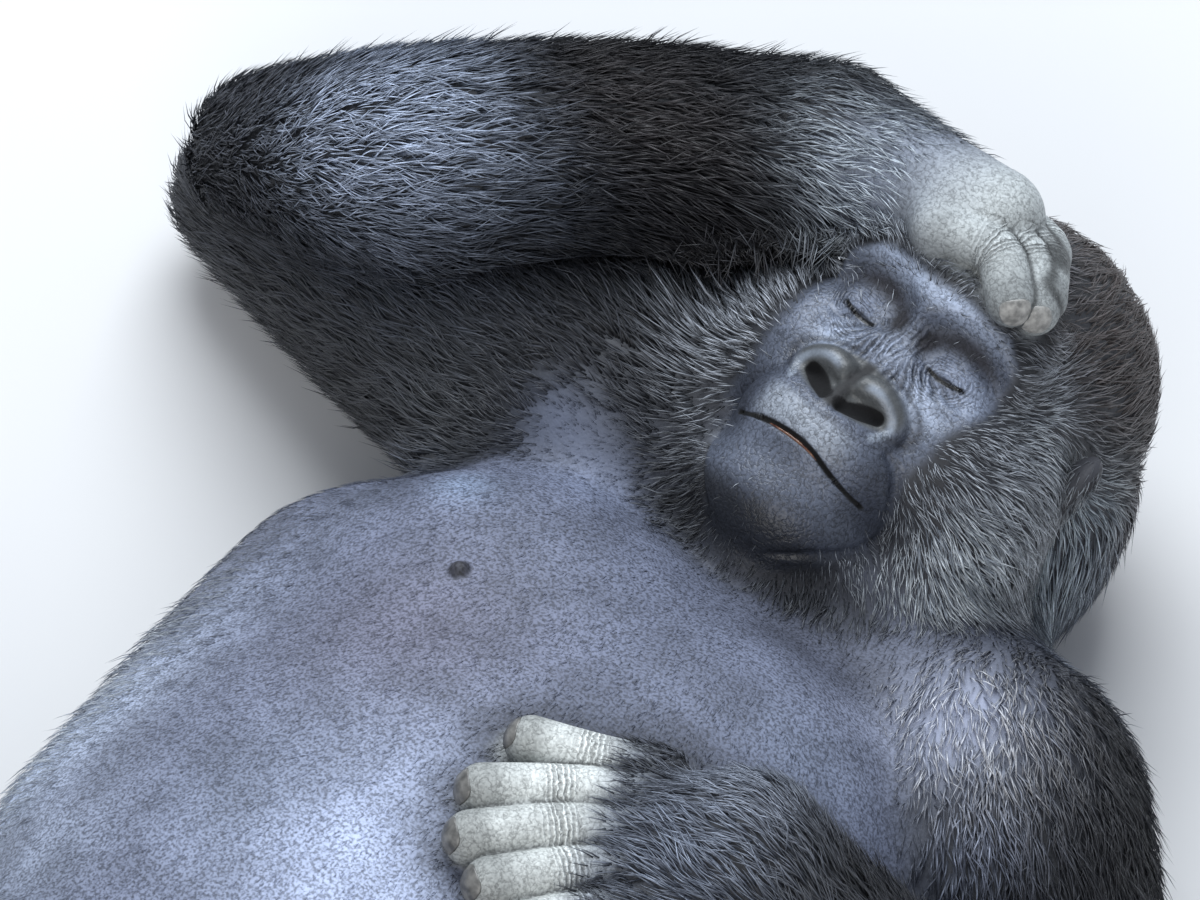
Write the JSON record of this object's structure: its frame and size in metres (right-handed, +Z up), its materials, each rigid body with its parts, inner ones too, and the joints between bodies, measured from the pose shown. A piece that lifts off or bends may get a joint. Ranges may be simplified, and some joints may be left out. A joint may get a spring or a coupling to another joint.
{
  "type": "gorilla",
  "caption": "Life-size gorilla lying asleep on its back, right arm thrown over its brow, left hand on its belly, knees bent and feet flat on the floor.",
  "frame": {"origin": "on the floor, under the middle of the body's bounding box in plan", "axes": "+Z up, +Y towards the crown of the head, +X towards the animal's left side"},
  "size_m": [1.1182, 1.5453, 0.4354],
  "materials": {
    "coat": "dense coarse fur, faint sheen",
    "chest_skin": "satin skin under short sparse fur",
    "face_skin": "creased skin, slightly glossy",
    "bare_skin": "creased matt skin",
    "eye": "wet gloss"
  },
  "bodies": {
    "root": {"abdomen": "coat", "neck": "coat", "forearm_left": "coat", "forearm_right": "coat", "upper_arm_left": "coat", "upper_arm_right": "coat", "thigh_left": "coat", "thigh_right": "coat", "shank_left": "coat", "shank_right": "coat", "chest": "chest_skin", "head": "face_skin", "ear_left": "face_skin", "ear_right": "face_skin", "hand_left": "bare_skin", "hand_right": "bare_skin", "foot_left": "bare_skin", "foot_right": "bare_skin", "eye_left": "eye", "eye_right": "eye"}
  },
  "joints": []
}
